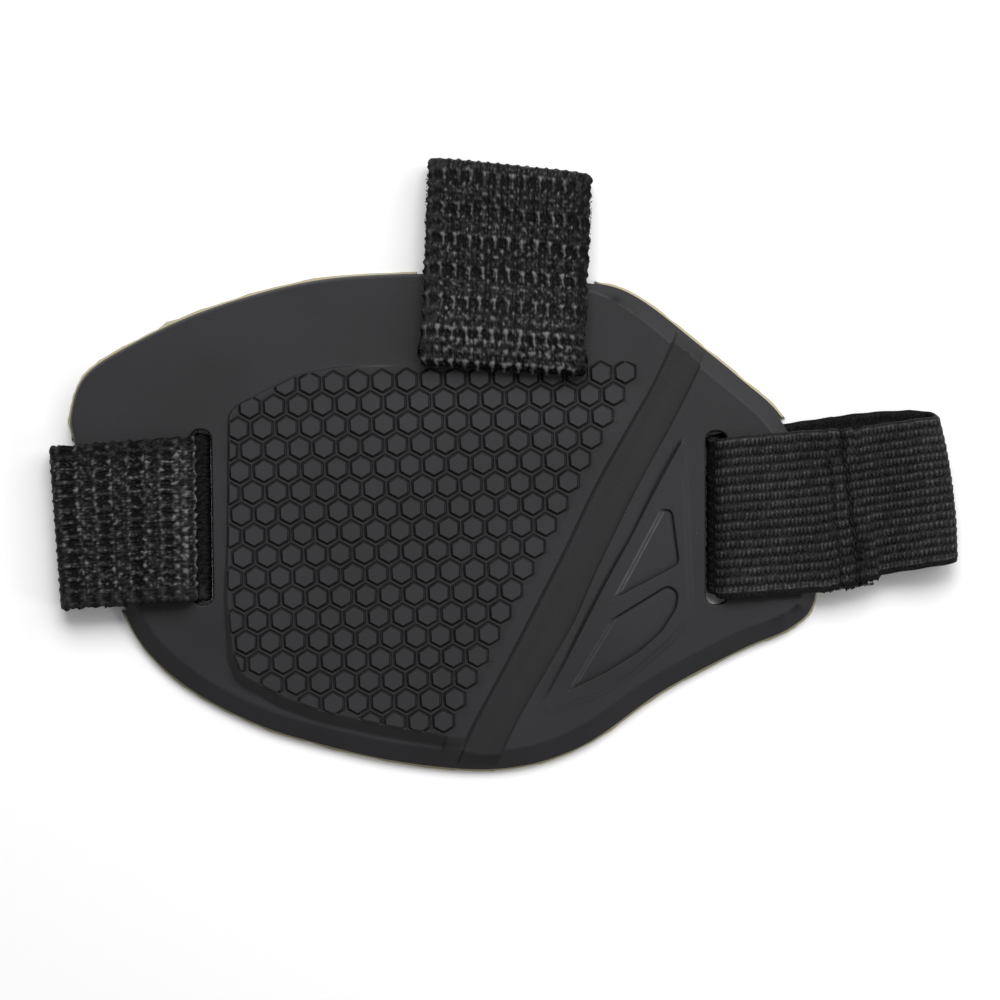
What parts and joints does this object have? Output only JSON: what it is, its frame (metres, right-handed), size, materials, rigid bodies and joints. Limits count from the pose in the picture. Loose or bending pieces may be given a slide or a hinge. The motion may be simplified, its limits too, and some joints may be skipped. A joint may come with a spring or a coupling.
{
  "type": "gear shift shoe protector",
  "caption": "Rubber pad that shields the top of a shoe or boot from a gear lever, with a studded front and sewn webbing and elastic loops for a foot strap.",
  "frame": {"origin": "a point on the pad's flat back, near the middle of the pad", "axes": "+Z out of the studded front; +X along the pad towards the elastic loop; +Y across it towards the top webbing loop"},
  "size_m": [0.214, 0.1427, 0.0105],
  "materials": {
    "pad_rubber": "matte moulded rubber",
    "strap_webbing": "coarse woven webbing",
    "strap_elastic": "ribbed knitted elastic",
    "seam_thread": "twisted sewing thread"
  },
  "bodies": {
    "pad": {"shield_pad": "pad_rubber"},
    "left_loop_body": {"left_loop": "strap_webbing"},
    "top_loop_root_body": {"top_loop_root": "strap_webbing"},
    "top_loop_tip_body": {"top_loop_tip": "strap_webbing", "top_loop_lap": "strap_webbing", "top_stitch_row_1": "seam_thread", "top_stitch_row_2": "seam_thread"},
    "elastic_root_body": {"elastic_loop_root": "strap_elastic"},
    "elastic_middle_body": {"elastic_loop_seam": "strap_elastic", "elastic_loop_lap": "strap_elastic", "elastic_loop_back": "strap_elastic", "elastic_stitch_row_1": "seam_thread", "elastic_stitch_row_2": "seam_thread"},
    "elastic_tip_body": {"elastic_loop_tip": "strap_elastic"}
  },
  "joints": [
    {"name": "left_loop_shift", "type": "slide", "parent": "pad", "child": "left_loop_body", "axis": [-0.014, 0.9999, 0], "range_m": [-0.0005, 0.0005]},
    {"name": "top_loop_shift", "type": "slide", "parent": "pad", "child": "top_loop_root_body", "axis": [0.9976, -0.0698, 0], "range_m": [-0.0005, 0.0005]},
    {"name": "top_loop_swing", "type": "hinge", "parent": "top_loop_root_body", "child": "top_loop_tip_body", "pos_m": [0.00148, 0.05559, 0.0035], "axis": [0.9992, -0.0401, 0], "range_deg": [-45, 60], "stiffness_Nm_per_rad": 0.03},
    {"name": "elastic_loop_shift", "type": "slide", "parent": "pad", "child": "elastic_root_body", "axis": [0, 1, 0], "range_m": [-0.0013, 0.0013]},
    {"name": "elastic_loop_swing", "type": "hinge", "parent": "elastic_root_body", "child": "elastic_middle_body", "pos_m": [0.0766, -0.00076, 0.0035], "axis": [0.1323, -0.9912, 0], "range_deg": [-45, 45], "stiffness_Nm_per_rad": 0.03},
    {"name": "elastic_stretch", "type": "slide", "parent": "elastic_middle_body", "child": "elastic_tip_body", "axis": [0.9912, 0.1323, 0], "range_m": [0, 0.02], "stiffness_N_per_m": 150}
  ]
}
